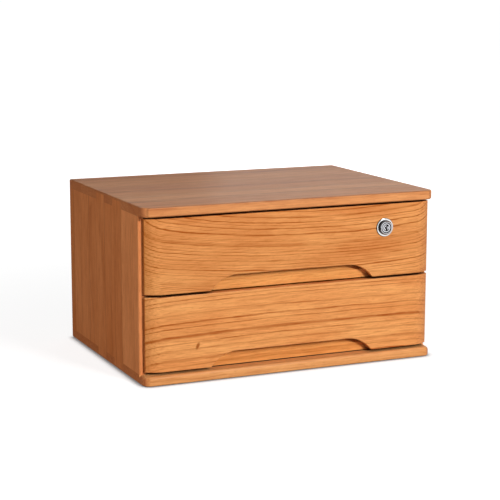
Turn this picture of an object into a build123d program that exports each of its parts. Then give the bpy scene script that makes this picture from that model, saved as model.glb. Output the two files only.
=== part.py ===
"""Lockable two-drawer desktop cabinet in solid wood, in millimetres.

X runs along the width, Y from the front (-Y) to the back and Z up, from the middle of the underside.
Both drawers rest closed, and the lock's bolt rests drawn in.
"""

import os

from build123d import *

os.makedirs("parts", exist_ok=True)

# Case: top and bottom boards, side panels and back panel
WIDTH = 400.0
DEPTH = 290.0
HEIGHT = 220.0
CAP_THICKNESS = 12.0  # top and bottom boards
SIDE_THICKNESS = 12.0
CORNER_RADIUS = 10.0  # front corners of the top and bottom boards, seen from above
CAP_ROUND = 2.0
TOP_LIP_ROUND = 2.5  # lower front edge of the top board
BASE_LIP_ROUND = 5.0  # upper front edge of the bottom board
SIDE_ROUND = 2.0
FIRST_TONGUE = 79.0  # from the boards' front edge to the first tongue of a side panel
TONGUE_WIDTH = 33.0
TONGUE_PITCH = 65.0
TONGUE_SKIN = 3.0  # wood left over a tongue
BACK_THICKNESS = 5.0
BACK_LAP = 8.0
BACK_INSET = 1.0
BACK_PLAY = 0.3

# Drawer faces with their finger pulls
FACE_SETBACK = 6.0  # behind the boards' front edge
FACE_THICKNESS = 12.0
FACE_STANDOFF = 1.0  # air between a face and the side panels' front edges
FACE_GAP = 2.9  # above, between and below the faces
FACE_REVEAL = 3.5  # side panel left showing beside a face, on the average of both ends
FACE_SHIFT = 2.4  # faces are screwed on this far to the right of the middle
FACE_END_RUN = 26.0  # length over which an end curves back
FACE_END_DROP = 8.0
FACE_ROUND = 1.2
PULL_LENGTH = 224.0
PULL_FLAT = 154.0  # straight part of the lip
PULL_HEIGHT = 18.0
PULL_CORNER = 2.5
COVE_RADIUS = 13.5  # groove behind the lip, for the finger tips
COVE_DEPTH = 6.5
COVE_RISE = 2.7  # its middle above the lip
COVE_INSET = 12.0  # centres of its round ends inside those of the pull
COVE_ROUND = 1.0

# Drawer boxes
BOX_PLAY = 2.0  # beside a box
BOX_DIP = 1.5  # box's lower edge below the face's
BOX_DROP = 4.5  # box's upper edge below the face's
BOX_BACK_GAP = 10.0
WALL = 10.0
FRONT_WALL = 12.0
WALL_ROUND = 1.5
FINGERS = 5  # at each corner of a box
FLOOR_THICKNESS = 4.0
FLOOR_LIFT = 6.0
FLOOR_LAP = 5.0
FLOOR_PLAY = 0.2

# Wooden runners
RUNNER_HEIGHT = 11.4
RUNNER_ENGAGE = 4.5  # into a box wall
RUNNER_PLAY = 0.3
RUNNER_SETBACK = 22.0  # behind the side panel's front edge
RUNNER_BACK_GAP = 18.0  # in front of the back panel
RUNNER_STOP = 2.0  # end of a closed drawer's groove in front of the runner

# Countersunk screws
HEAD_DIAMETER = 5.2
HEAD_DEPTH = 1.6
SHANK_DIAMETER = 2.6
POINT_LENGTH = 2.5
SCREW_FIT = 0.08  # room around a screw
BITE_SHARE = 0.7  # of the wood that a screw ends in
BACK_BITE = 10.0
RUNNER_SCREW_INSET = 30.0
BACK_SCREW_STEP = 130.0
FACE_SCREW_INSET = 12.0  # from the inside of a box's side wall
FACE_SCREW_RISE = 44.0  # lower screws above the face's lower edge
FACE_SCREW_DROP = 17.5  # upper screws below its upper edge

# Drawer lock and its strike plate
LOCK_INSET = 68.0  # barrel's centre from the face's right end
LOCK_DROP = 33.0  # barrel's centre below the top board
RING_DIAMETER = 24.0
RING_THICKNESS = 1.8
RING_ROUND = 1.2
RING_PLAY = 0.1
BARREL_DIAMETER = 18.4
BARREL_PROUD = 5.6
BARREL_PLAY = 0.2
BARREL_BEVEL = 1.4
PLUG_DIAMETER = 12.4
PLUG_HEAD = 6.0
PLUG_RECESS = 0.6
PLUG_SHANK = 11.4
PLUG_PLAY = 0.08
PLUG_ROUND = 0.8
FLANGE_DIAMETER = 16.0
FLANGE_THICKNESS = 1.0
KEY_WIDTH = 2.5
KEY_HEIGHT = 8.4
KEY_JOG = 1.1  # sideways step of the key slot
KEY_JOG_SHARES = (0.4, -0.9, 1.0)  # of the jog, in the slot's lower, middle and upper third
KEY_DEPTH = 16.0
LOCK_WIDTH = 40.0
LOCK_BELOW = 18.0  # case below the barrel's centre
LOCK_WALL = 2.0
LOCK_ROUND = 2.0
COVER_THICKNESS = 1.2
LOCK_SCREW_X = 15.5
LOCK_SCREW_INSET = 5.0
PIN_DIAMETER = 3.6
PIN_THROW = 5.0  # radius on which the pin turns, half the bolt's travel
PIN_SLACK = 1.4
BOLT_WIDTH = 20.0
BOLT_THICKNESS = 4.5
BOLT_FOOT = 4.0  # metal below the bolt's slot
BOLT_TIP = 0.5  # above the case when drawn in
BOLT_BEVEL = 0.6
BOLT_PLAY = 0.3
STRIKE_LENGTH = 46.0
STRIKE_WIDTH = 14.0
STRIKE_THICKNESS = 1.2
STRIKE_PLAY = 1.0
STRIKE_SCREW_X = 17.5

OVERRUN = 5.0  # of a cut past the wood

# Lines that the pieces share
FRONT_Y = -DEPTH / 2
BACK_Y = DEPTH / 2
FACE_Y = FRONT_Y + FACE_SETBACK
BOX_Y = FACE_Y + FACE_THICKNESS
CASE_Y = BOX_Y + FACE_STANDOFF
PANEL_Y = BACK_Y - BACK_INSET - BACK_THICKNESS
BOX_BACK_Y = PANEL_Y - BOX_BACK_GAP
LOCK_Y = BOX_Y + FRONT_WALL
INNER_X = WIDTH / 2 - SIDE_THICKNESS
FACE_X = WIDTH / 2 - FACE_REVEAL
BOX_X = INNER_X - BOX_PLAY
FLOOR_Z = CAP_THICKNESS
CEILING_Z = HEIGHT - CAP_THICKNESS
FACE_HEIGHT = (CEILING_Z - FLOOR_Z - 3 * FACE_GAP) / 2
BOX_HEIGHT = FACE_HEIGHT + BOX_DIP - BOX_DROP
FACE_Z = {"lower": FLOOR_Z + FACE_GAP, "upper": CEILING_Z - FACE_GAP - FACE_HEIGHT}
COVE_LENGTH = PULL_LENGTH - 2 * COVE_INSET
SIDES = {"left": -1, "right": 1}

TONGUE_HEIGHT = CAP_THICKNESS - TONGUE_SKIN
FIRST_TONGUE_Y = FRONT_Y + FIRST_TONGUE + TONGUE_WIDTH / 2
TONGUES_Y = (FIRST_TONGUE_Y, FIRST_TONGUE_Y + TONGUE_PITCH)

RUNNER_THICKNESS = BOX_PLAY + RUNNER_ENGAGE
RUNNER_NOSE_Y = CASE_Y + RUNNER_SETBACK + RUNNER_HEIGHT / 2  # centre of its round end
RUNNER_END_Y = PANEL_Y - RUNNER_BACK_GAP

LOCK_X = FACE_SHIFT + FACE_X - LOCK_INSET
LOCK_Z = CEILING_Z - LOCK_DROP
LOCK_TOP = CEILING_Z - FACE_GAP - BOX_DROP
LOCK_BOTTOM = LOCK_Z - LOCK_BELOW
BARREL_Y = FACE_Y - BARREL_PROUD
PLUG_Y = BARREL_Y + PLUG_RECESS
FLANGE_Y = LOCK_Y + LOCK_WALL + BOLT_PLAY
BOLT_Y = FLANGE_Y + FLANGE_THICKNESS + BOLT_PLAY
COVER_Y = BOLT_Y + BOLT_THICKNESS + BOLT_PLAY
SLOT_Z = LOCK_Z - PIN_THROW
SLOT_HEIGHT = PIN_DIAMETER + 2 * PIN_SLACK
BOLT_BOTTOM = SLOT_Z - SLOT_HEIGHT / 2 - BOLT_FOOT
BOLT_TOP = LOCK_TOP + BOLT_TIP
BOLT_MIDDLE_Y = BOLT_Y + BOLT_THICKNESS / 2
MORTISE_TOP = BOLT_TOP + 2 * PIN_THROW + STRIKE_PLAY

# Turns that point a screw to one side
TO_LEFT = (0, 90, 0)
TO_RIGHT = (0, -90, 0)
TO_FRONT = (-90, 0, 0)
TO_TOP = (180, 0, 0)


def save(piece, label):
    """Names a finished piece and writes it."""
    piece.part.label = label
    export_step(piece.part, f"parts/{label}.step")


def block(x_pair, y_pair, z_pair, mode=Mode.ADD):
    """Box in the open part, between two values on each axis."""
    pairs = (x_pair, y_pair, z_pair)
    with Locations(tuple((a + b) / 2 for a, b in pairs)):
        Box(*(abs(b - a) for a, b in pairs), mode=mode)


def rod(radius, y_pair, mode=Mode.ADD):
    """Cylinder in the open part, along the lock's axis between two values of Y."""
    with BuildSketch(Plane((LOCK_X, y_pair[1], LOCK_Z), z_dir=(0, -1, 0))) as disc:
        Circle(radius)
    extrude(disc.sketch, amount=y_pair[1] - y_pair[0], mode=mode)


def screw_shape(length, fit):
    """Countersunk screw that points down from the origin, wider by fit where it's the hole."""
    head = HEAD_DIAMETER / 2 + fit
    shank = SHANK_DIAMETER / 2 + fit
    with BuildPart() as screw:
        with BuildSketch(Plane.XZ):
            with BuildLine():
                Polyline(
                    (0, 0),
                    (head, 0),
                    (shank, -HEAD_DEPTH),
                    (shank, POINT_LENGTH - length),
                    (0, -length - fit),
                    close=True,
                )
            make_face()
        revolve(axis=Axis.Z)
    return screw.part


class ScrewSet:
    """Equal screws, each at a place and turned to one side."""

    def __init__(self, places, length):
        self.spots = [Location(place, turn) for place, turn in places]
        self.screw = screw_shape(length, 0)
        self.hole = screw_shape(length, SCREW_FIT)

    def drill(self):
        """Cuts the holes into the open part."""
        with Locations(*self.spots):
            add(self.hole, mode=Mode.SUBTRACT)

    def save(self, label):
        with BuildPart() as group:
            with Locations(*self.spots):
                add(self.screw)
        save(group, label)


def cap_board(outer_z, inward, lip_round):
    """Top or bottom board, made from its outer face inward (+1 up, -1 down)."""
    outer, inner = (-1, 0) if inward < 0 else (0, -1)
    inner_z = outer_z + inward * CAP_THICKNESS
    with BuildPart() as board:
        # In front of the side panels the board is eased on both faces.
        with BuildSketch(Plane.XY.offset(outer_z)) as overhang:
            with Locations((0, (FRONT_Y + CASE_Y) / 2)):
                Rectangle(WIDTH, CASE_Y - FRONT_Y)
            fillet(overhang.vertices().group_by(Axis.Y)[0], CORNER_RADIUS)
        extrude(amount=inward * CAP_THICKNESS)
        rim = board.edges().group_by(Axis.Z)[inner].sort_by(Axis.Y)
        fillet(rim[:-1], lip_round)
        with BuildSketch(Plane.XY.offset(outer_z)):
            with Locations((0, (CASE_Y + BACK_Y) / 2)):
                Rectangle(WIDTH, BACK_Y - CASE_Y)
        extrude(amount=inward * CAP_THICKNESS)
        fillet(board.edges().group_by(Axis.Z)[outer], CAP_ROUND)
        # Sockets for the tongues of the side panels
        socket_z = inner_z - inward * TONGUE_HEIGHT / 2
        socket_x = WIDTH / 2 - SIDE_THICKNESS / 2
        with Locations(*((sign * socket_x, y, socket_z) for sign in SIDES.values() for y in TONGUES_Y)):
            Box(SIDE_THICKNESS, TONGUE_WIDTH, TONGUE_HEIGHT, mode=Mode.SUBTRACT)
        cut_back_rebate()
        back_screws.drill()
    return board.part


def cut_back_rebate():
    """Cuts the back panel's rebate into the open board."""
    lap_x = INNER_X + BACK_LAP
    block(
        (-lap_x, lap_x),
        (PANEL_Y, BACK_Y + OVERRUN),
        (FLOOR_Z - BACK_LAP, CEILING_Z + BACK_LAP),
        Mode.SUBTRACT,
    )


# Places of the screws
lap_x = INNER_X + BACK_LAP / 2
panel_back_y = PANEL_Y + BACK_THICKNESS
back_places = [
    (x, panel_back_y, z)
    for x in (-BACK_SCREW_STEP, 0, BACK_SCREW_STEP)
    for z in (FLOOR_Z - BACK_LAP / 2, CEILING_Z + BACK_LAP / 2)
]
back_places += [(sign * lap_x, panel_back_y, HEIGHT / 2) for sign in SIDES.values()]
back_screws = ScrewSet([(place, TO_FRONT) for place in back_places], BACK_THICKNESS + BACK_BITE)

runner_z = {name: z - BOX_DIP + BOX_HEIGHT / 2 for name, z in FACE_Z.items()}
runner_places = [
    ((sign * (INNER_X - RUNNER_THICKNESS), y, z), TO_LEFT if sign < 0 else TO_RIGHT)
    for sign in SIDES.values()
    for y in (RUNNER_NOSE_Y + RUNNER_SCREW_INSET, RUNNER_END_Y - RUNNER_SCREW_INSET)
    for z in runner_z.values()
]
runner_screws = ScrewSet(runner_places, RUNNER_THICKNESS + BITE_SHARE * SIDE_THICKNESS)

lock_back_y = COVER_Y + COVER_THICKNESS
lock_places = [
    ((LOCK_X + sign * LOCK_SCREW_X, lock_back_y, z), TO_FRONT)
    for sign in SIDES.values()
    for z in (LOCK_BOTTOM + LOCK_SCREW_INSET, LOCK_TOP - LOCK_SCREW_INSET)
]
lock_screws = ScrewSet(lock_places, lock_back_y - LOCK_Y + BITE_SHARE * FRONT_WALL)

strike_places = [
    ((LOCK_X + sign * STRIKE_SCREW_X, BOLT_MIDDLE_Y, CEILING_Z), TO_TOP) for sign in SIDES.values()
]
strike_screws = ScrewSet(strike_places, BITE_SHARE * CAP_THICKNESS)

face_screw_x = BOX_X - WALL - FACE_SCREW_INSET
face_screws = {}
for name, face_z in FACE_Z.items():
    face_places = [
        ((sign * face_screw_x, LOCK_Y, z), TO_FRONT)
        for sign in SIDES.values()
        for z in (face_z + FACE_SCREW_RISE, face_z + FACE_HEIGHT - FACE_SCREW_DROP)
    ]
    face_screws[name] = ScrewSet(face_places, FRONT_WALL + BITE_SHARE * FACE_THICKNESS)

# Top and bottom boards
plain_top = cap_board(HEIGHT, -1, TOP_LIP_ROUND)
strike_x = (LOCK_X - STRIKE_LENGTH / 2, LOCK_X + STRIKE_LENGTH / 2)
strike_y = (BOLT_MIDDLE_Y - STRIKE_WIDTH / 2, BOLT_MIDDLE_Y + STRIKE_WIDTH / 2)
strike_z = (CEILING_Z, CEILING_Z + STRIKE_THICKNESS)
mortise_x = (LOCK_X - BOLT_WIDTH / 2 - STRIKE_PLAY, LOCK_X + BOLT_WIDTH / 2 + STRIKE_PLAY)
mortise_y = (BOLT_Y - STRIKE_PLAY, BOLT_Y + BOLT_THICKNESS + STRIKE_PLAY)
with BuildPart() as top_board:
    add(plain_top)
    block(strike_x, strike_y, strike_z, Mode.SUBTRACT)
    block(mortise_x, mortise_y, (CEILING_Z, MORTISE_TOP), Mode.SUBTRACT)
    strike_screws.drill()
save(top_board, "top_board")

plain_bottom = cap_board(0, 1, BASE_LIP_ROUND)
with BuildPart() as bottom_board:
    add(plain_bottom)
save(bottom_board, "bottom_board")

# Side panels, with two tongues in each end
for side, sign in SIDES.items():
    with BuildPart() as side_panel:
        with BuildSketch(Plane.YZ.offset(sign * INNER_X)):
            with Locations(((CASE_Y + BACK_Y) / 2, HEIGHT / 2)):
                Rectangle(BACK_Y - CASE_Y, CEILING_Z - FLOOR_Z)
            with Locations(*((y, HEIGHT / 2) for y in TONGUES_Y)):
                Rectangle(TONGUE_WIDTH, CEILING_Z - FLOOR_Z + 2 * TONGUE_HEIGHT)
        extrude(amount=sign * SIDE_THICKNESS)
        front_edges = side_panel.edges().filter_by(Axis.Z).group_by(Axis.Y)[0]
        fillet(front_edges.sort_by(Axis.X)[0 if sign < 0 else -1], SIDE_ROUND)
        cut_back_rebate()
        back_screws.drill()
        runner_screws.drill()
    save(side_panel, f"{side}_side_panel")

# Back panel
panel_x = INNER_X + BACK_LAP - BACK_PLAY
panel_z = (FLOOR_Z - BACK_LAP + BACK_PLAY, CEILING_Z + BACK_LAP - BACK_PLAY)
with BuildPart() as back_panel:
    block((-panel_x, panel_x), (PANEL_Y, panel_back_y), panel_z)
    back_screws.drill()
save(back_panel, "back_panel")
back_screws.save("back_panel_screws")

# Runners with round noses
for side, sign in SIDES.items():
    for name, z in runner_z.items():
        with BuildPart() as runner:
            with BuildSketch(Plane.YZ.offset(sign * INNER_X)):
                with Locations(((RUNNER_NOSE_Y + RUNNER_END_Y) / 2, z)):
                    Rectangle(RUNNER_END_Y - RUNNER_NOSE_Y, RUNNER_HEIGHT)
                with Locations((RUNNER_NOSE_Y, z)):
                    Circle(RUNNER_HEIGHT / 2)
            extrude(amount=-sign * RUNNER_THICKNESS)
            runner_screws.drill()
        save(runner, f"{name}_{side}_runner")
runner_screws.save("runner_screws")


def drawer_face(name, face_z):
    """Applied front: ends that curve back, and a finger pull cut out of the lower edge."""
    flat_x = FACE_X - FACE_END_RUN
    arris_y = FACE_Y + FACE_END_DROP
    with BuildPart() as face:
        with BuildSketch(Plane((FACE_SHIFT, 0, face_z))):
            with BuildLine():
                Line((-flat_x, FACE_Y), (flat_x, FACE_Y))
                TangentArc((flat_x, FACE_Y), (FACE_X, arris_y), tangent=(1, 0))
                TangentArc((-flat_x, FACE_Y), (-FACE_X, arris_y), tangent=(-1, 0))
                Polyline((FACE_X, arris_y), (FACE_X, BOX_Y), (-FACE_X, BOX_Y), (-FACE_X, arris_y))
            make_face()
        extrude(amount=FACE_HEIGHT)
        lip_z = face_z + PULL_HEIGHT
        with BuildSketch(Plane((FACE_SHIFT, BOX_Y, 0), x_dir=(1, 0, 0), z_dir=(0, -1, 0))):
            with BuildLine():
                Line((-PULL_FLAT / 2, lip_z), (PULL_FLAT / 2, lip_z))
                TangentArc((PULL_FLAT / 2, lip_z), (PULL_LENGTH / 2, face_z), tangent=(1, 0))
                TangentArc((-PULL_FLAT / 2, lip_z), (-PULL_LENGTH / 2, face_z), tangent=(-1, 0))
                Line((-PULL_LENGTH / 2, face_z), (PULL_LENGTH / 2, face_z))
            make_face()
        extrude(amount=FACE_THICKNESS, mode=Mode.SUBTRACT)
        lower_corners = face.edges().filter_by(Axis.Y).group_by(Axis.Z)[0].sort_by(Axis.X)
        fillet(lower_corners[1:-1], PULL_CORNER)
        # All edges around the visible surface are eased, but not the seams where its curves begin.
        rim = face.edges().filter_by(Axis.Y, reverse=True)
        rim = rim.filter_by(lambda edge: edge.center().Y < arris_y + FACE_ROUND)
        end_x = FACE_X - FACE_ROUND
        seams = rim.filter_by(Axis.Z).filter_by(lambda edge: abs(edge.center().X - FACE_SHIFT) < end_x)
        fillet([edge for edge in rim if edge not in seams], FACE_ROUND)
        face_screws[name].drill()
        if name == "upper":
            rod(BARREL_DIAMETER / 2 + BARREL_PLAY, (FACE_Y - OVERRUN, BOX_Y), Mode.SUBTRACT)
    save(face, f"{name}_drawer_face")


def finger_heights(box_z, first):
    """Middle heights of every second finger of a box corner, from the first on."""
    step = BOX_HEIGHT / FINGERS
    return [box_z + (index + 1 / 2) * step for index in range(first, FINGERS, 2)]


def cut_floor_groove(box_z):
    """Cuts the bottom panel's groove into the open wall."""
    groove_x = BOX_X - WALL + FLOOR_LAP
    groove_z = box_z + FLOOR_LIFT
    block(
        (-groove_x, groove_x),
        (LOCK_Y - FLOOR_LAP, BOX_BACK_Y - WALL + FLOOR_LAP),
        (groove_z, groove_z + FLOOR_THICKNESS + 2 * FLOOR_PLAY),
        Mode.SUBTRACT,
    )


def cross_wall(y_pair, box_z):
    """Front or back wall of a drawer box, with fingers between those of the side walls."""
    with BuildPart() as wall:
        block((-BOX_X, BOX_X), y_pair, (box_z, box_z + BOX_HEIGHT))
        fillet(wall.edges().filter_by(Axis.X).group_by(Axis.Z)[-1], WALL_ROUND)
        corner_x = BOX_X - WALL / 2
        middle_y = sum(y_pair) / 2
        heights = finger_heights(box_z, 0)
        with Locations(*((sign * corner_x, middle_y, z) for sign in SIDES.values() for z in heights)):
            Box(WALL, y_pair[1] - y_pair[0], BOX_HEIGHT / FINGERS, mode=Mode.SUBTRACT)
        cut_floor_groove(box_z)
    return wall.part


def drawer_box(name, face_z):
    """Finger-jointed box behind a face, grooved for the runners and for its bottom panel."""
    box_z = face_z - BOX_DIP
    front_board = cross_wall((BOX_Y, LOCK_Y), box_z)
    with BuildPart() as box_front:
        add(front_board)
        # Cove behind the lip of the finger pull, with ball ends
        cove_y = BOX_Y + COVE_DEPTH - COVE_RADIUS
        cove_z = face_z + PULL_HEIGHT + COVE_RISE
        with Locations((FACE_SHIFT, cove_y, cove_z)):
            Cylinder(COVE_RADIUS, COVE_LENGTH, rotation=(0, 90, 0), mode=Mode.SUBTRACT)
        cove_ends = [FACE_SHIFT + sign * COVE_LENGTH / 2 for sign in SIDES.values()]
        with Locations(*((x, cove_y, cove_z) for x in cove_ends)):
            Sphere(COVE_RADIUS, mode=Mode.SUBTRACT)
        fillet(box_front.faces().sort_by(Axis.Y)[0].inner_wires().edges(), COVE_ROUND)
        face_screws[name].drill()
        if name == "upper":
            rod(BARREL_DIAMETER / 2 + BARREL_PLAY, (BOX_Y, LOCK_Y), Mode.SUBTRACT)
            lock_screws.drill()
    save(box_front, f"{name}_drawer_box_front")

    back_board = cross_wall((BOX_BACK_Y - WALL, BOX_BACK_Y), box_z)
    with BuildPart() as box_back:
        add(back_board)
    save(box_back, f"{name}_drawer_back_wall")

    for side, sign in SIDES.items():
        with BuildPart() as side_wall:
            block((sign * (BOX_X - WALL), sign * BOX_X), (BOX_Y, BOX_BACK_Y), (box_z, box_z + BOX_HEIGHT))
            fillet(side_wall.edges().filter_by(Axis.Y).group_by(Axis.Z)[-1], WALL_ROUND)
            for y_pair in ((BOX_Y, LOCK_Y), (BOX_BACK_Y - WALL, BOX_BACK_Y)):
                with Locations(
                    *((sign * (BOX_X - WALL / 2), sum(y_pair) / 2, z) for z in finger_heights(box_z, 1))
                ):
                    Box(WALL, y_pair[1] - y_pair[0], BOX_HEIGHT / FINGERS, mode=Mode.SUBTRACT)
            cut_floor_groove(box_z)
            groove_height = RUNNER_HEIGHT + 2 * RUNNER_PLAY
            nose_y = RUNNER_NOSE_Y - RUNNER_STOP
            with BuildSketch(Plane.YZ.offset(sign * BOX_X)):
                with Locations(((nose_y + BOX_BACK_Y) / 2, runner_z[name])):
                    Rectangle(BOX_BACK_Y - nose_y, groove_height)
                with Locations((nose_y, runner_z[name])):
                    Circle(groove_height / 2)
            extrude(amount=-sign * (RUNNER_ENGAGE + RUNNER_PLAY), mode=Mode.SUBTRACT)
        save(side_wall, f"{name}_drawer_{side}_wall")

    floor_x = BOX_X - WALL + FLOOR_LAP - FLOOR_PLAY
    floor_z = box_z + FLOOR_LIFT + FLOOR_PLAY
    with BuildPart() as floor:
        block(
            (-floor_x, floor_x),
            (LOCK_Y - FLOOR_LAP + FLOOR_PLAY, BOX_BACK_Y - WALL + FLOOR_LAP - FLOOR_PLAY),
            (floor_z, floor_z + FLOOR_THICKNESS),
        )
    save(floor, f"{name}_drawer_bottom")
    face_screws[name].save(f"{name}_drawer_face_screws")


for name, face_z in FACE_Z.items():
    drawer_face(name, face_z)
    drawer_box(name, face_z)

# Lock: case with its barrel
half_lock = LOCK_WIDTH / 2
half_cavity = BOLT_WIDTH / 2 + BOLT_PLAY
with BuildPart() as lock_case:
    with BuildSketch(Plane.XZ.offset(-LOCK_Y)) as case_outline:
        with Locations((LOCK_X, (LOCK_BOTTOM + LOCK_TOP) / 2)):
            RectangleRounded(LOCK_WIDTH, LOCK_TOP - LOCK_BOTTOM, LOCK_ROUND)
    extrude(amount=LOCK_Y - COVER_Y)
    rod(BARREL_DIAMETER / 2, (BARREL_Y, LOCK_Y))
    chamfer(lock_case.edges().group_by(Axis.Y)[0], BARREL_BEVEL)
    block(
        (LOCK_X - half_cavity, LOCK_X + half_cavity),
        (LOCK_Y + LOCK_WALL, COVER_Y),
        (BOLT_BOTTOM - BOLT_PLAY, LOCK_TOP),
        Mode.SUBTRACT,
    )
    rod(PLUG_DIAMETER / 2 + PLUG_PLAY, (BARREL_Y, PLUG_Y + PLUG_HEAD + BOLT_PLAY), Mode.SUBTRACT)
    rod(PLUG_SHANK / 2 + PLUG_PLAY, (BARREL_Y, LOCK_Y + LOCK_WALL), Mode.SUBTRACT)
    lock_screws.drill()
save(lock_case, "lock_case")

with BuildPart() as lock_cover:
    with BuildSketch(Plane.XZ.offset(-COVER_Y)):
        with Locations((LOCK_X, (LOCK_BOTTOM + LOCK_TOP) / 2)):
            RectangleRounded(LOCK_WIDTH, LOCK_TOP - LOCK_BOTTOM, LOCK_ROUND)
    extrude(amount=-COVER_THICKNESS)
    lock_screws.drill()
save(lock_cover, "lock_cover")
lock_screws.save("lock_screws")

# Trim ring around the barrel
with BuildPart() as lock_ring:
    rod(RING_DIAMETER / 2, (FACE_Y - RING_THICKNESS, FACE_Y))
    fillet(lock_ring.edges().group_by(Axis.Y)[0], RING_ROUND)
    rod(BARREL_DIAMETER / 2 + RING_PLAY, (FACE_Y - RING_THICKNESS, FACE_Y), Mode.SUBTRACT)
save(lock_ring, "lock_ring")

# Plug: stepped shaft with a jogged key slot, and a flange that carries the bolt's pin
with BuildPart() as lock_plug:
    rod(PLUG_DIAMETER / 2, (PLUG_Y, PLUG_Y + PLUG_HEAD))
    fillet(lock_plug.edges().group_by(Axis.Y)[0], PLUG_ROUND)
    rod(PLUG_SHANK / 2, (PLUG_Y, FLANGE_Y))
    rod(FLANGE_DIAMETER / 2, (FLANGE_Y, FLANGE_Y + FLANGE_THICKNESS))
    with BuildSketch(Plane((LOCK_X, FLANGE_Y, SLOT_Z), z_dir=(0, 1, 0))):
        Circle(PIN_DIAMETER / 2)
    extrude(amount=BOLT_Y + BOLT_THICKNESS - FLANGE_Y)
    with BuildSketch(Plane((LOCK_X, PLUG_Y, LOCK_Z), x_dir=(1, 0, 0), z_dir=(0, -1, 0))):
        key_step = KEY_HEIGHT / len(KEY_JOG_SHARES)
        for index, share in enumerate(KEY_JOG_SHARES):
            with Locations((share * KEY_JOG, (index + 1 / 2) * key_step - KEY_HEIGHT / 2)):
                Rectangle(KEY_WIDTH, key_step)
    extrude(amount=-KEY_DEPTH, mode=Mode.SUBTRACT)
save(lock_plug, "lock_plug")

# Bolt with the cross slot that the pin works in
half_slot = PIN_THROW + PIN_DIAMETER / 2 + BOLT_PLAY
with BuildPart() as lock_bolt:
    bolt_y = (BOLT_Y, BOLT_Y + BOLT_THICKNESS)
    block((LOCK_X - BOLT_WIDTH / 2, LOCK_X + BOLT_WIDTH / 2), bolt_y, (BOLT_BOTTOM, BOLT_TOP))
    chamfer(lock_bolt.edges().group_by(Axis.Z)[-1], BOLT_BEVEL)
    block(
        (LOCK_X - half_slot, LOCK_X + half_slot),
        bolt_y,
        (SLOT_Z - SLOT_HEIGHT / 2, SLOT_Z + SLOT_HEIGHT / 2),
        Mode.SUBTRACT,
    )
save(lock_bolt, "lock_bolt")

# Strike plate let into the top board
with BuildPart() as strike_plate:
    block(strike_x, strike_y, strike_z)
    block(mortise_x, mortise_y, strike_z, Mode.SUBTRACT)
    strike_screws.drill()
save(strike_plate, "strike_plate")
strike_screws.save("strike_screws")
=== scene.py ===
import math
from collections import namedtuple

import bpy
import numpy as np
from mathutils import Matrix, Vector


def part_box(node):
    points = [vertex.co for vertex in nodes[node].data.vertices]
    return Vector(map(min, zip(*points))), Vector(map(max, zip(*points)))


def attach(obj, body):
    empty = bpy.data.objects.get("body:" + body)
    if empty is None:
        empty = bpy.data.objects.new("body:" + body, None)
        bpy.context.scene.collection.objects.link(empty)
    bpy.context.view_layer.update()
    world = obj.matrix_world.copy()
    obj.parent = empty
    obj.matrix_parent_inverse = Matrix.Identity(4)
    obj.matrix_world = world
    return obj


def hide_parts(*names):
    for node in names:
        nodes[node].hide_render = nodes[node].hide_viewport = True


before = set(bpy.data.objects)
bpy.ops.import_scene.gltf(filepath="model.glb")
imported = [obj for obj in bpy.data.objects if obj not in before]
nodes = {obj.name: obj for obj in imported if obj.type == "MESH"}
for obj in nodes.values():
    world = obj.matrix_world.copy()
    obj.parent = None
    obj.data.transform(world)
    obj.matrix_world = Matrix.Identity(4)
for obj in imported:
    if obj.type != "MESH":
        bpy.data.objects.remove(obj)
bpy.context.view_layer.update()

# Lockable two-drawer desktop cabinet in lacquered beech: finishes, screws, light and camera.
# Lengths are in metres in the frame of the solids, and in millimetres inside the wood patterns.

MM = 0.001

# A Mix node's sockets for colours: how much of the second, the first, the second, and the result
SHARE, FIRST, SECOND, MIXED = 0, 6, 7, 2


def linear(code):
    """Linear red, green, blue and alpha of an sRGB hex colour."""
    shares = [int(code[at:at + 2], 16) / 255 for at in (1, 3, 5)]
    return (*(c / 12.92 if c <= 0.04045 else ((c + 0.055) / 1.055) ** 2.4 for c in shares), 1.0)


def add(tree, kind, inputs, out=0, **settings):
    """Adds a node with its settings and links, and returns one of its outputs, if it has any.

    inputs maps a socket to its value, or to the output that feeds it.
    """
    made = tree.nodes.new(kind)
    for name, value in settings.items():
        setattr(made, name, value)
    for key, value in inputs.items():
        if isinstance(value, bpy.types.NodeSocket):
            tree.links.new(value, made.inputs[key])
        else:
            made.inputs[key].default_value = value
    return made.outputs[out] if made.outputs else None


def blank(name):
    """New material with an empty node tree, and that tree."""
    material = bpy.data.materials.new(name)
    material.use_nodes = True
    material.node_tree.nodes.clear()
    return material, material.node_tree


def dress(material, *names):
    """Gives a material to solids."""
    for name in names:
        slots = nodes[name].data.materials
        slots.clear()
        slots.append(material)


def put(name, data):
    """New object in the scene that holds this mesh, lamp or camera."""
    thing = bpy.data.objects.new(name, data)
    bpy.context.scene.collection.objects.link(thing)
    return thing


# Beech under a clear satin lacquer turns honey orange. Its early wood is pale, a darker line ends each
# year's growth, deeper patches lie between, and the end grain is brown, because it drinks the lacquer.
Tones = namedtuple("Tones", "early late deep end")
HONEY = Tones("#F4AA64", "#A84F0C", "#DF8F4E", "#A05210")
LIGHT_HONEY = Tones("#FEB46C", "#A64C0C", "#EE9C58", "#A04C0C")
CASE = Tones("#FCB676", "#A8542A", "#E09257", "#BC6C40")
BASE = Tones("#FCBA78", "#B0622B", "#EDA362", "#B65C30")
INNER = Tones("#F9B368", "#A8581C", "#E69A52", "#A0561A")
RUSSET = Tones("#F8A064", "#A85424", "#D27A42", "#A8622F")
PALE = Tones("#EBB67E", "#C1813F", "#DDA56C", "#B98552")
# Dark brown of the glue lines between the staves, and of the painted shade in joints, gaps and corners
GLUE_AND_SHADE_TONE = "#2A0E06"

# Wander of the rings: how long and wide its lumps are, and how far they push a ring, in millimetres
WANDER = ((240.0, 70.0, 8.0), (40.0, 9.0, 1.6), (12.0, 3.0, 0.8))
# How often the width of the rings changes, in times per ring, and by how many rings
UNEVEN_RATE, UNEVEN_RINGS = 0.37, 2.4
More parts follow.
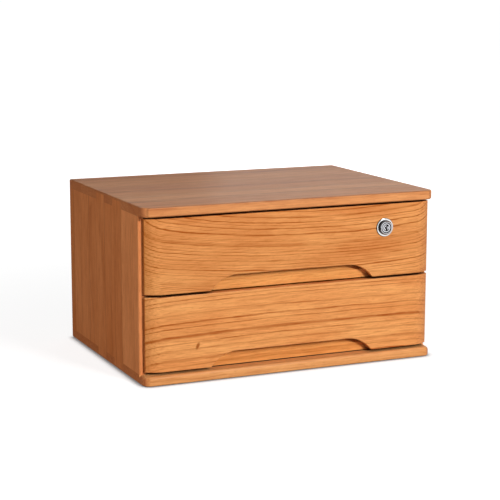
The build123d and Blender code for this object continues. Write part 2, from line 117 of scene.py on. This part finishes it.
# Where in a year's width the late wood begins, is darkest and ends, and the strength of the faintest year
LATE_START, LATE_PEAK, LATE_END, FAINTEST = 0.5, 0.88, 0.98, 0.25
# How strongly fibres, pores and ray flecks darken the wood
FIBRE_TONE, PORE_TONE, FLECK_TONE = 0.32, 0.26, 0.14
# How far along and through the log a stave is taken from, in millimetres, and its share of the tone
STAVE_ALONG, STAVE_THROUGH, STAVE_TONE = 900.0, 60.0, 0.6
# Half width of a glue line in millimetres, twice the real one so that it shows, and its strength
GLUE_LINE, GLUE_TONE = 0.8, 0.3
# Half sizes of a pin knot along and across in millimetres, and its turn in degrees
KNOT_ALONG, KNOT_ACROSS, KNOT_TURN = 2.8, 6.0, 24.0
# Satin lacquer: its roughness over pale and over dense wood, its IOR, and the pores' depth in millimetres
SATIN_LOW, SATIN_HIGH, LACQUER_IOR, PORE_DEPTH = 0.35, 0.47, 1.5, 0.15


def beech(name, grain, tones, pith, ring, arch=(0.0, 0.0), stave=0.0, contrast=1.0, mark=None, gloss=0.14,
          joint=11.0):
    """Solid beech as a pattern in space, so that faces, ends and rounded edges show one and the same wood.

    Growth rings are circles round the pith: the distance from it, plus a slow wander along the grain and an
    arch, is cut into rings, and each ring darkens towards its outer edge.
    grain names the axes along the grain, across the board and through its thickness. pith is the place of
    the log's heart across and through, ring the mean width of a year, arch the bend of the lines and its
    middle along the grain, stave the width of the glued strips, contrast the strength of the lines, mark
    the place of a pin knot along and across, gloss the strength of the shine, and joint the reach
    of the painted shade in joints, gaps and corners.
    of a joint reaches.
    """
    material, tree = blank(name)
    place = add(tree, "ShaderNodeTexCoord", {}, out="Object")
    place = add(tree, "ShaderNodeVectorMath", {0: place, "Scale": 1 / MM}, operation="SCALE")
    split = add(tree, "ShaderNodeSeparateXYZ", {0: place}).node.outputs
    along, across, through = (split[axis] for axis in grain)

    if stave:
        strip = add(tree, "ShaderNodeMath", {0: across, 1: stave}, operation="DIVIDE")
        strip = add(tree, "ShaderNodeMath", {0: strip}, operation="FLOOR")
        chance = add(tree, "ShaderNodeTexWhiteNoise", {"W": strip}, out="Color", noise_dimensions="1D")
        chance = add(tree, "ShaderNodeSeparateColor", {0: chance}).node.outputs
        along = {0: chance[0], 1: STAVE_ALONG, 2: along}
        along = add(tree, "ShaderNodeMath", along, operation="MULTIPLY_ADD")
        through = {0: chance[1], 1: STAVE_THROUGH, 2: through}
        through = add(tree, "ShaderNodeMath", through, operation="MULTIPLY_ADD")
    board = add(tree, "ShaderNodeCombineXYZ", {0: along, 1: across, 2: through})

    def cloud(length, width, detail=2.0, rough=0.5):
        """Noise whose lumps are that long along the grain and that wide across it."""
        size = (1 / length, 1 / width, 1 / width)
        spot = add(tree, "ShaderNodeVectorMath", {0: board, 1: size}, operation="MULTIPLY")
        lumps = {"Vector": spot, "Scale": 1.0, "Detail": detail, "Roughness": rough}
        return add(tree, "ShaderNodeTexNoise", lumps)

    # Distance from the pith, with the wander of the trunk and the arch
    out_across = add(tree, "ShaderNodeMath", {0: across, 1: pith[0]}, operation="SUBTRACT")
    out_through = add(tree, "ShaderNodeMath", {0: through, 1: pith[1]}, operation="SUBTRACT")
    spoke = add(tree, "ShaderNodeCombineXYZ", {0: out_across, 1: out_through})
    reach = add(tree, "ShaderNodeVectorMath", {0: spoke}, out="Value", operation="LENGTH")
    for length, width, push in WANDER:
        pushed = {0: cloud(length, width), 1: push, 2: reach}
        reach = add(tree, "ShaderNodeMath", pushed, operation="MULTIPLY_ADD")
    bow = add(tree, "ShaderNodeMath", {0: along, 1: arch[1]}, operation="SUBTRACT")
    bow = add(tree, "ShaderNodeMath", {0: bow, 1: 2.0}, operation="POWER")
    reach = add(tree, "ShaderNodeMath", {0: bow, 1: arch[0], 2: reach}, operation="MULTIPLY_ADD")

    # Years, each with its own width and strength, fainter in places
    years = add(tree, "ShaderNodeMath", {0: reach, 1: ring}, operation="DIVIDE")
    uneven = {"W": years, "Scale": UNEVEN_RATE, "Detail": 1.0}
    uneven = add(tree, "ShaderNodeTexNoise", uneven, noise_dimensions="1D")
    years = add(tree, "ShaderNodeMath", {0: uneven, 1: UNEVEN_RINGS, 2: years}, operation="MULTIPLY_ADD")
    season = add(tree, "ShaderNodeMath", {0: years}, operation="FRACT")
    year = add(tree, "ShaderNodeMath", {0: years}, operation="FLOOR")
    strong = add(tree, "ShaderNodeTexWhiteNoise", {"W": year}, out="Value", noise_dimensions="1D")
    strong = add(tree, "ShaderNodeMapRange", {"Value": strong, "To Min": FAINTEST, "To Max": 1.0})
    rise = {"Value": season, "From Min": LATE_START, "From Max": LATE_PEAK}
    rise = add(tree, "ShaderNodeMapRange", rise, interpolation_type="SMOOTHSTEP")
    rise = add(tree, "ShaderNodeMath", {0: rise, 1: 2.0}, operation="POWER")
    fall = {"Value": season, "From Min": LATE_PEAK, "From Max": LATE_END, "To Min": 1.0, "To Max": 0.0}
    fall = add(tree, "ShaderNodeMapRange", fall, interpolation_type="SMOOTHSTEP")
    patch = {"Value": cloud(60.0, 14.0), "From Min": 0.35, "From Max": 0.65, "To Min": 0.55, "To Max": 1.0}
    patch = add(tree, "ShaderNodeMapRange", patch)

    # Ray flecks, fibres and pores are under half a millimetre wide, and are drawn coarser so that they
    # show. The pores lie in short dark strokes, and break up the lines of the years.
    fleck = {"Value": cloud(7.0, 1.5, 1.0), "From Min": 0.55, "From Max": 0.7}
    fleck = add(tree, "ShaderNodeMapRange", fleck, interpolation_type="SMOOTHSTEP")
    fibre = {"Value": cloud(26.0, 1.7, 3.0, 0.65), "From Min": 0.3, "From Max": 0.7}
    fibre = add(tree, "ShaderNodeMapRange", fibre)
    stroke = {"Value": cloud(34.0, 1.5, 2.0, 0.6), "From Min": 0.5, "From Max": 0.66}
    stroke = add(tree, "ShaderNodeMapRange", stroke, interpolation_type="SMOOTHSTEP")
    broken = add(tree, "ShaderNodeMapRange", {"Value": stroke, "To Min": 0.75, "To Max": 1.2})
    line = rise
    for share in (fall, strong, patch, broken):
        line = add(tree, "ShaderNodeMath", {0: line, 1: share}, operation="MULTIPLY")

    # Layers of colour over the early wood, from broad patches to the finest marks
    patches = {"Value": cloud(150.0, 28.0), "From Min": 0.35, "From Max": 0.7}
    patches = add(tree, "ShaderNodeMapRange", patches)
    if stave:
        patches = add(tree, "ShaderNodeMath", {0: patches, 1: 1 - STAVE_TONE}, operation="MULTIPLY")
        patches = {0: chance[2], 1: STAVE_TONE, 2: patches}
        patches = add(tree, "ShaderNodeMath", patches, operation="MULTIPLY_ADD")
    layers = [(patches, tones.deep)]
    marks = ((line, contrast), (fibre, FIBRE_TONE), (stroke, PORE_TONE), (fleck, FLECK_TONE))
    for share, strength in marks:
        share = add(tree, "ShaderNodeMath", {0: share, 1: strength}, operation="MULTIPLY", use_clamp=True)
        layers.append((share, tones.late))

    if stave:
        seam = add(tree, "ShaderNodeMath", {0: across, 1: stave / 2}, operation="PINGPONG")
        seam = {"Value": seam, "From Min": GLUE_LINE, "From Max": 0.4 * GLUE_LINE, "To Max": GLUE_TONE}
        layers.append((add(tree, "ShaderNodeMapRange", seam), GLUE_AND_SHADE_TONE))

    if mark:
        knot = add(tree, "ShaderNodeVectorMath", {0: board, 1: (*mark, 0.0)}, operation="SUBTRACT")
        knot = {"Vector": knot, "Angle": math.radians(KNOT_TURN)}
        knot = add(tree, "ShaderNodeVectorRotate", knot, rotation_type="Z_AXIS")
        knot = {0: knot, 1: (1 / KNOT_ALONG, 1 / KNOT_ACROSS, 0.0)}
        knot = add(tree, "ShaderNodeVectorMath", knot, operation="MULTIPLY")
        knot = add(tree, "ShaderNodeVectorMath", {0: knot}, out="Value", operation="LENGTH")
        knot = {"Value": knot, "From Min": 1.0, "From Max": 0.4, "To Max": 0.9}
        layers.append((add(tree, "ShaderNodeMapRange", knot), tones.end))

    # End grain, and less so slanted grain on a curved end: open pores and a darker tone
    facing = add(tree, "ShaderNodeTexCoord", {}, out="Normal")
    facing = add(tree, "ShaderNodeSeparateXYZ", {0: facing}).node.outputs[grain[0]]
    facing = add(tree, "ShaderNodeMath", {0: facing}, operation="ABSOLUTE")
    facing = {"Value": facing, "From Min": 0.18, "From Max": 0.95}
    facing = add(tree, "ShaderNodeMapRange", facing, interpolation_type="SMOOTHSTEP")
    pores = {"Value": cloud(3.0, 3.0, 3.0, 0.7), "From Min": 0.3, "From Max": 0.7}
    pores |= {"To Min": 0.55, "To Max": 0.95}
    pores = add(tree, "ShaderNodeMapRange", pores)
    layers.append((add(tree, "ShaderNodeMath", {0: facing, 1: pores}, operation="MULTIPLY"), tones.end))

    # Painted shade: the wood turns dark brown where other surfaces close in, in joints, gaps, corners and
    # under lips
    painted_gap_shade = add(tree, "ShaderNodeAmbientOcclusion", {"Distance": joint * MM}, out="AO", samples=8)
    painted_gap_shade = {"Value": painted_gap_shade, "From Min": 0.5, "From Max": 0.15, "To Max": 0.95}
    layers.append((add(tree, "ShaderNodeMapRange", painted_gap_shade), GLUE_AND_SHADE_TONE))

    colour = linear(tones.early)
    for share, tone in layers:
        laid = {SHARE: share, FIRST: colour, SECOND: linear(tone)}
        colour = add(tree, "ShaderNodeMix", laid, out=MIXED, data_type="RGBA")

    # The lacquer follows the pores a little, and is duller on the dense late wood
    height = add(tree, "ShaderNodeMath", {0: fleck, 1: -0.5, 2: fibre}, operation="MULTIPLY_ADD")
    relief = add(tree, "ShaderNodeBump", {"Height": height, "Strength": 0.12, "Distance": PORE_DEPTH * MM})
    sheen = add(tree, "ShaderNodeMapRange", {"Value": fibre, "To Min": SATIN_LOW, "To Max": SATIN_HIGH})
    finish = {"Base Color": colour, "Roughness": sheen, "Normal": relief}
    finish |= {"IOR": LACQUER_IOR, "Specular IOR Level": gloss}
    finish = add(tree, "ShaderNodeBsdfPrincipled", finish)
    add(tree, "ShaderNodeOutputMaterial", {"Surface": finish})
    return material


# Flat-sawn fronts: the cut runs along the rings, so their lines spread into long arches and bold stripes
upper_front = beech("lacquered flat-sawn beech, upper front", "XZY", HONEY, (228.0, -170.0), 3.7,
                    arch=(2.9e-4, 60.0), contrast=1.6, gloss=0.2)
lower_front = beech("lacquered flat-sawn beech, lower front", "XZY", LIGHT_HONEY, (-150.0, -234.0), 8.0,
                    arch=(8.5e-5, 40.0), contrast=1.6, mark=(-128.0, 44.0), gloss=0.2)
dress(upper_front, "upper_drawer_face")
dress(lower_front, "lower_drawer_face")

# Case boards: staves glued edge to edge, so the tone steps from one to the next at thin dark lines
top_wood = beech("lacquered beech staves, top", "XYZ", CASE, (40.0, -60.0), 14.0, stave=48.0, contrast=1.1)
# The base's painted shade reaches less far, so that its ledge before the fronts stays light
base_wood = beech("lacquered beech staves, base", "XYZ", BASE, (40.0, -60.0), 6.0, stave=70.0,
                  contrast=0.6, joint=5.0)
side_wood = beech("lacquered beech staves, sides", "ZYX", RUSSET, (30.0, 90.0), 5.0, stave=64.0,
                  contrast=0.4)
dress(top_wood, "top_board")
dress(base_wood, "bottom_board")
dress(side_wood, "left_side_panel", "right_side_panel")

# Boxes and runners: plain boards, sanded or waxed, with straight grain, and paler where they are hidden
cross_wood = beech("sanded beech, box fronts and backs", "XZY", INNER, (-60.0, -190.0), 5.0, contrast=1.2)
wall_wood = beech("sanded beech, box sides", "YZX", PALE, (-60.0, 320.0), 5.0, contrast=0.6)
runner_wood = beech("waxed beech runners", "YZX", PALE, (300.0, 320.0), 3.0, contrast=0.7)
for drawer in ("upper", "lower"):
    dress(cross_wood, f"{drawer}_drawer_box_front", f"{drawer}_drawer_back_wall")
    dress(wall_wood, f"{drawer}_drawer_left_wall", f"{drawer}_drawer_right_wall")
    dress(runner_wood, f"{drawer}_left_runner", f"{drawer}_right_runner")

# Plywood: its thin outer veneer is pale, with broad and faint figure
veneer = beech("sanded plywood", "XYZ", PALE, (0.0, 400.0), 9.0, contrast=0.5)
back_veneer = beech("sanded plywood, back panel", "XZY", PALE, (100.0, 500.0), 9.0, contrast=0.5)
dress(veneer, "upper_drawer_bottom", "lower_drawer_bottom")
dress(back_veneer, "back_panel")

LOCK_AXIS = tuple(np.mean(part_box("lock_ring"), axis=0))
# Width of the uneven spots in a polish, pitch of the lathe's rings, and reach of the painted shade in a
# corner
SMEAR, LATHE_PITCH, CORNER_SHADE_REACH = 3.0 * MM, 2.6 * MM, 4.0 * MM


def metal(name, tone, roughness, edge=None, groove_shade=None):
    """Plated metal with a faint unevenness in its polish.

    edge is a dark tone painted on what faces away from the lock's axis and in its inner corners: painted
    shade.
    groove_shade is a darker tone painted at the bottom of the rings that the lathe cuts round that axis, as
    painted shade; the rings are waves a thirtieth as deep as their pitch.
    """
    material, tree = blank(name)
    place = add(tree, "ShaderNodeTexCoord", {}, out="Object")
    smear = add(tree, "ShaderNodeTexNoise", {"Vector": place, "Scale": 1 / SMEAR, "Detail": 3.0})
    sheen = {"Value": smear, "To Min": roughness * 0.6, "To Max": roughness * 1.4}
    finish = {"Metallic": 1.0, "Roughness": add(tree, "ShaderNodeMapRange", sheen)}
    colour = linear(tone)
    if groove_shade:
        spoke = add(tree, "ShaderNodeVectorMath", {0: place, 1: LOCK_AXIS}, operation="SUBTRACT")
        spoke = add(tree, "ShaderNodeVectorMath", {0: spoke, 1: (1.0, 0.0, 1.0)}, operation="MULTIPLY")
        reach = add(tree, "ShaderNodeVectorMath", {0: spoke}, out="Value", operation="LENGTH")
        swing = add(tree, "ShaderNodeMath", {0: reach, 1: 2 * math.pi / LATHE_PITCH}, operation="MULTIPLY")
        swing = add(tree, "ShaderNodeMath", {0: swing}, operation="COSINE")
        rings = {"Height": swing, "Strength": 1.0, "Distance": LATHE_PITCH / 30}
        finish["Normal"] = add(tree, "ShaderNodeBump", rings)
        # Painted shade: the tone darkens towards the bottom of each lathe ring
        groove_shade_share = add(tree, "ShaderNodeMapRange", {"Value": swing, "From Min": 0.6, "From Max": -0.8})
        laid = {SHARE: groove_shade_share, FIRST: colour, SECOND: linear(groove_shade)}
        colour = add(tree, "ShaderNodeMix", laid, out=MIXED, data_type="RGBA")
    # Painted shade: the dark edge tone lies on faces turned away from the lock's axis and in inner corners
    if edge:
        facing = add(tree, "ShaderNodeTexCoord", {}, out="Normal")
        facing = add(tree, "ShaderNodeSeparateXYZ", {0: facing}).node.outputs["Y"]
        facing = add(tree, "ShaderNodeMath", {0: facing}, operation="ABSOLUTE")
        facing = add(tree, "ShaderNodeMapRange", {"Value": facing, "From Min": 0.5, "From Max": 0.97})
        clear = add(tree, "ShaderNodeAmbientOcclusion", {"Distance": CORNER_SHADE_REACH}, out="AO", samples=8)
        clear = add(tree, "ShaderNodeMapRange", {"Value": clear, "From Min": 0.35, "From Max": 0.8})
        polished = add(tree, "ShaderNodeMath", {0: facing, 1: clear}, operation="MULTIPLY")
        laid = {SHARE: polished, FIRST: linear(edge), SECOND: colour}
        colour = add(tree, "ShaderNodeMix", laid, out=MIXED, data_type="RGBA")
    finish["Base Color"] = colour
    finish = add(tree, "ShaderNodeBsdfPrincipled", finish)
    add(tree, "ShaderNodeOutputMaterial", {"Surface": finish})
    return material


# Polished chrome mirrors the studio. The barrel and its plug are duller nickel with the rings of the lathe,
# which are drawn coarser so that they show, with painted shade at the bottom of each ring. Chrome and
# nickel get a dark painted shade on the faces that turn away from the lock's axis and in their inner
# corners.
# Zinc plate is a dull grey that only blurs what it mirrors.
chrome = metal("polished chrome plate", "#DADADA", 0.1, edge="#1E1814")
nickel = metal("turned nickel plate", "#D2D2D6", 0.16, edge="#16120F", groove_shade="#505054")
zinc = metal("zinc-plated steel", "#B4B6B8", 0.35)
dress(chrome, "lock_ring")
dress(nickel, "lock_case", "lock_plug")
dress(zinc, "lock_cover", "lock_bolt", "strike_plate")

# Countersunk wood screws, in the places of the plain ones. Radii and lengths are in metres.
HEAD, HEAD_DEPTH, SHANK, CORE, POINT = 2.6 * MM, 1.6 * MM, 1.3 * MM, 0.95 * MM, 2.5 * MM
RECESS_REACH, RECESS_HALF, RECESS_DEPTH, RECESS_SLOPE = 1.75 * MM, 0.36 * MM, 1.1 * MM, 1.6
RECESS_WALL = 0.25 * RECESS_HALF
# The thread's pitch, and the shares of it at which the ridge begins and over which it climbs
THREAD_PITCH, RIDGE_START, RIDGE_FLANK = 1.2 * MM, 0.35, 0.5
# Steps round the screw, out over its head and along one pitch, and the head's first step as a share
TURNS, HEAD_STEPS, PITCH_STEPS, FIRST_STEP = 48, 25, 8, 0.04
# Each screw stops a little further round than the one before, in radians. Folds past the angle look sharp.
DRIVEN_STEP, SHARP_DEGREES = 0.65, 35


def screw_surface(length):
    """Points, four-sided faces and triangles of a screw that points down from the origin.

    The first parameter runs down the outline: the head's top from its middle to the rim, the cone under it,
    the shank and the point. The second is the angle. On the top the height is minus the recess's depth,
    which falls off along two crossed slots. On the shank the radius follows a ridge that climbs one pitch
    per turn.
    """
    angle = np.linspace(0, 2 * np.pi, TURNS, endpoint=False)[None, :]
    reach = HEAD * np.linspace(FIRST_STEP, 1.0, HEAD_STEPS)[:, None]
    off = reach * np.minimum(np.abs(np.sin(angle)), np.abs(np.cos(angle)))
    wall = np.clip((RECESS_HALF - off) / RECESS_WALL + 1, 0, 1)
    top = -RECESS_DEPTH * wall * np.clip(RECESS_SLOPE * (1 - reach / RECESS_REACH), 0, 1)
    down = np.arange(HEAD_DEPTH, length, THREAD_PITCH / PITCH_STEPS)[:, None]
    ridge = np.abs((down / THREAD_PITCH - angle / (2 * np.pi)) % 1 - 0.5) * 2
    ridge = np.clip((ridge - RIDGE_START) / RIDGE_FLANK, 0, 1)
    ridge = ridge * np.clip((down - HEAD_DEPTH) / THREAD_PITCH, 0, 1)
    taper = np.clip((length - down) / POINT, 0, 1)
    rod = (CORE + (SHANK - CORE) * ridge) * taper
    radius = np.vstack([np.broadcast_to(reach, top.shape), rod])
    height = np.vstack([top, np.broadcast_to(-down, rod.shape)])
    points = np.stack([radius * np.cos(angle), radius * np.sin(angle), height], axis=-1).reshape(-1, 3)
    points = np.vstack([points, (0, 0, -RECESS_DEPTH), (0, 0, -length)])
    rings = len(radius)
    here = np.arange(TURNS)
    after = (here + 1) % TURNS
    start = TURNS * np.arange(rings - 1)[:, None]
    sides = np.stack([start + here, start + TURNS + here, start + TURNS + after, start + after], axis=-1)
    last = TURNS * (rings - 1)
    lid = np.stack([np.full(TURNS, len(points) - 2), here, after], axis=-1)
    tip = np.stack([np.full(TURNS, len(points) - 1), last + after, last + here], axis=-1)
    return points, sides.reshape(-1, 4), np.vstack([lid, tip])


def screws(node, body, places, aims, length):
    """Equal screws in one piece: each is the one surface, turned to its aim and moved to its place."""
    points, *faces = screw_surface(length)
    out = -np.array(aims, dtype=float)
    driven = DRIVEN_STEP * np.arange(len(places))[:, None]
    side = np.roll(out, 1, axis=1)
    side = np.cos(driven) * side + np.sin(driven) * np.cross(out, side)
    turns = np.stack([side, np.cross(out, side), out], axis=1)
    spots = (np.einsum("pi,sij->spj", points, turns) + places[:, None, :]).reshape(-1, 3)
    starts = len(points) * np.arange(len(places))[:, None, None]
    quads, triangles = ((face + starts).reshape(-1, face.shape[1]).tolist() for face in faces)
    mesh = bpy.data.meshes.new(f"cross_{node}")
    mesh.from_pydata(spots.tolist(), [], quads + triangles)
    mesh.polygons.foreach_set("use_smooth", np.ones(len(mesh.polygons), dtype=bool))
    mesh.set_sharp_from_angle(angle=math.radians(SHARP_DEGREES))
    mesh.materials.append(zinc)
    piece = put(mesh.name, mesh)
    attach(piece, body)
    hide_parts(node)


def grid(xs, ys, zs):
    """All the places that combine these values of X, Y and Z."""
    return np.stack(np.meshgrid(xs, ys, zs, indexing="ij"), axis=-1).reshape(-1, 3)


TO_LEFT, TO_RIGHT, TO_FRONT, TO_TOP = (-1, 0, 0), (1, 0, 0), (0, -1, 0), (0, 0, 1)

BACK_SCREW_STEP = 130.0 * MM
low, high = np.array(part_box("back_panel_screws"))
rows = grid((-BACK_SCREW_STEP, 0, BACK_SCREW_STEP), high[1], (low[2] + HEAD, high[2] - HEAD))
ends = grid((low[0] + HEAD, high[0] - HEAD), high[1], (low[2] + high[2]) / 2)
screws("back_panel_screws", "case", np.vstack([rows, ends]), [TO_FRONT] * 8, high[1] - low[1])

RUNNER_SCREW_LENGTH = 14.9 * MM
low, high = np.array(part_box("runner_screws"))
rows = grid((low[0] + RUNNER_SCREW_LENGTH, high[0] - RUNNER_SCREW_LENGTH), (low[1] + HEAD, high[1] - HEAD),
            (low[2] + HEAD, high[2] - HEAD))
screws("runner_screws", "case", rows, [TO_LEFT] * 4 + [TO_RIGHT] * 4, RUNNER_SCREW_LENGTH)

low, high = np.array(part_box("strike_screws"))
rows = grid((low[0] + HEAD, high[0] - HEAD), (low[1] + high[1]) / 2, low[2])
screws("strike_screws", "case", rows, [TO_TOP] * 2, high[2] - low[2])

drawer_screws = {
    "lock_screws": "upper_drawer",
    "upper_drawer_face_screws": "upper_drawer",
    "lower_drawer_face_screws": "lower_drawer",
}
for node, body in drawer_screws.items():
    low, high = np.array(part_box(node))
    rows = grid((low[0] + HEAD, high[0] - HEAD), high[1], (low[2] + HEAD, high[2] - HEAD))
    screws(node, body, rows, [TO_FRONT] * 4, high[1] - low[1])


def looked_at(tree):
    """One for a look, straight, in a mirror or through glass, and nought for the light that things get."""
    ray = add(tree, "ShaderNodeLightPath", {}).node.outputs
    seen = ray["Is Camera Ray"]
    for kind in ("Is Glossy Ray", "Is Transmission Ray"):
        seen = add(tree, "ShaderNodeMath", {0: seen, 1: ray[kind]}, operation="MAXIMUM")
    return seen


# Floor: white paper, matte, which takes the cabinet's shadow. Where it is looked at, it also glows a plain
# white, with painted shade: the glow is a little dimmer near the cabinet, and a painted contact shadow
# darkens it most in the narrow line where the two meet.
FLOOR_REACH, FLOOR_DROP, CONTACT_SHADOW_REACH = 60.0, 0.2 * MM, 10.0 * MM
corners = np.array([(-1, -1, 0), (1, -1, 0), (1, 1, 0), (-1, 1, 0)]) * FLOOR_REACH
floor_mesh = bpy.data.meshes.new("floor")
floor_mesh.from_pydata(corners.tolist(), [], [(0, 1, 2, 3)])
floor = put("floor", floor_mesh)
floor.location.z = -FLOOR_DROP
paper, tree = blank("white paper")
place = add(tree, "ShaderNodeTexCoord", {}, out="Object")
# Painted shade: the glow is dimmer near the cabinet
far = add(tree, "ShaderNodeVectorMath", {0: place}, out="Value", operation="LENGTH")
far = {"Value": far, "From Min": 0.25, "From Max": 1.2, "To Min": 0.85, "To Max": 0.98}
far = add(tree, "ShaderNodeMapRange", far, interpolation_type="SMOOTHSTEP")
# Painted contact shadow: the glow drops where the floor meets the cabinet
clear = add(tree, "ShaderNodeAmbientOcclusion", {"Distance": CONTACT_SHADOW_REACH}, out="AO", samples=8)
clear = add(tree, "ShaderNodeMapRange", {"Value": clear, "From Min": 0.5, "From Max": 0.95, "To Min": 0.2})
glow = looked_at(tree)
for share in (far, clear):
    glow = add(tree, "ShaderNodeMath", {0: glow, 1: share}, operation="MULTIPLY")
glow = add(tree, "ShaderNodeEmission", {"Strength": glow})
matte = add(tree, "ShaderNodeBsdfDiffuse", {"Color": linear("#AAAAAA")})
both = add(tree, "ShaderNodeAddShader", {0: matte, 1: glow})
add(tree, "ShaderNodeOutputMaterial", {"Surface": both})
floor_mesh.materials.append(paper)

# World: even soft light, and plain white behind the cabinet and in its mirrors
SOFT_LIGHT = 0.12
world = bpy.data.worlds.new("studio")
bpy.context.scene.world = world
world.use_nodes = True
tree = world.node_tree
tree.nodes.clear()
level = add(tree, "ShaderNodeMapRange", {"Value": looked_at(tree), "To Min": SOFT_LIGHT, "To Max": 1.0})
sky = add(tree, "ShaderNodeBackground", {"Color": linear("#FFFFFF"), "Strength": level})
add(tree, "ShaderNodeOutputWorld", {"Surface": sky})

# Soft boxes that face the cabinet's middle: the key in front and above, a little to the right, a weak fill
# on the left and a weak one behind. These stay out of the shine, or the lacquer would mirror them as white
# patches at a low angle. One more, high up, is seen only in the shine of rounded edges and metal.
# Each has its turn from the front and its rise in degrees, its distance, its size and its power in watts.
CABINET_MIDDLE = (0, 0, 0.11)
lamps = {
    "key": (14.0, 19.0, 2.2, 0.4, 35.0),
    "fill": (-76.0, 6.0, 2.0, 0.7, 11.3),
    "edge": (22.0, 52.0, 2.0, 0.7, 30.0),
    "back": (150.0, 6.0, 2.2, 0.9, 14.0),
}
for name, (turn, rise, distance, size, watts) in lamps.items():
    lamp = bpy.data.lights.new(name, "AREA")
    lamp.size = size
    lamp.energy = watts
    soft_box = put(name, lamp)
    soft_box.matrix_world = (
        Matrix.Translation(CABINET_MIDDLE)
        @ Matrix.Rotation(math.radians(turn), 4, "Z")
        @ Matrix.Rotation(math.radians(90 - rise), 4, "X")
        @ Matrix.Translation((0, 0, distance))
    )
    soft_box.visible_camera = False
    soft_box.visible_diffuse = name != "edge"
    soft_box.visible_glossy = name == "edge"

# Black flags and a mat, seen only in the shine of the lacquer: beside the left side and the fronts' left
# ends, which would mirror the white floor, and behind, low over the top. Felt swallows nearly all light.
FELT_TUFT = 1.1 * MM
felt, tree = blank("black felt")
place = add(tree, "ShaderNodeTexCoord", {}, out="Object")
tufts = add(tree, "ShaderNodeTexNoise", {"Vector": place, "Scale": 1 / FELT_TUFT, "Detail": 2.0})
laid = {SHARE: tufts, FIRST: linear("#0D0D0D"), SECOND: linear("#222222")}
black = add(tree, "ShaderNodeMix", laid, out=MIXED, data_type="RGBA")
matte = add(tree, "ShaderNodeBsdfDiffuse", {"Color": black})
add(tree, "ShaderNodeOutputMaterial", {"Surface": matte})
flags = {
    "left flag": ((-1.6, 0.32, 0.0), (-0.21, 0.32, 0.0), (-0.21, 0.32, 0.8), (-1.6, 0.32, 0.8)),
    "left mat": ((-1.6, -1.3, 0.0), (-0.6, -1.3, 0.0), (-0.202, -0.3, 0.0), (-0.202, 0.32, 0.0),
                 (-1.6, 0.32, 0.0)),
    "back flag": ((-0.7, 0.8, 0.2), (0.28, 0.8, 0.2), (0.28, 0.8, 0.4), (-0.7, 0.8, 0.4)),
}
for name, points in flags.items():
    mesh = bpy.data.meshes.new(name)
    mesh.from_pydata(points, [], [range(len(points))])
    mesh.materials.append(felt)
    flag = put(name, mesh)
    flag.visible_camera = False
    flag.visible_diffuse = False
    flag.visible_shadow = False

# Camera at the photograph's place: its distance and turn come from the cabinet's edges in the picture
FOCAL_PIXELS, IMAGE_PIXELS = 1513.0, 500.0
CAMERA_PLACE = (-0.8058, -1.8182, 0.4922)
CAMERA_YAW, CAMERA_DIP, CAMERA_ROLL = 24.005, 10.277, 0.106
lens = bpy.data.cameras.new("camera")
lens.sensor_width = 36.0
lens.lens = FOCAL_PIXELS / IMAGE_PIXELS * lens.sensor_width
camera = put("camera", lens)
camera.matrix_world = (
    Matrix.Translation(CAMERA_PLACE)
    @ Matrix.Rotation(math.radians(-CAMERA_YAW), 4, "Z")
    @ Matrix.Rotation(math.radians(90 - CAMERA_DIP), 4, "X")
    @ Matrix.Rotation(math.radians(CAMERA_ROLL), 4, "Z")
)
bpy.context.scene.camera = camera
bpy.context.scene.view_settings.view_transform = "Standard"
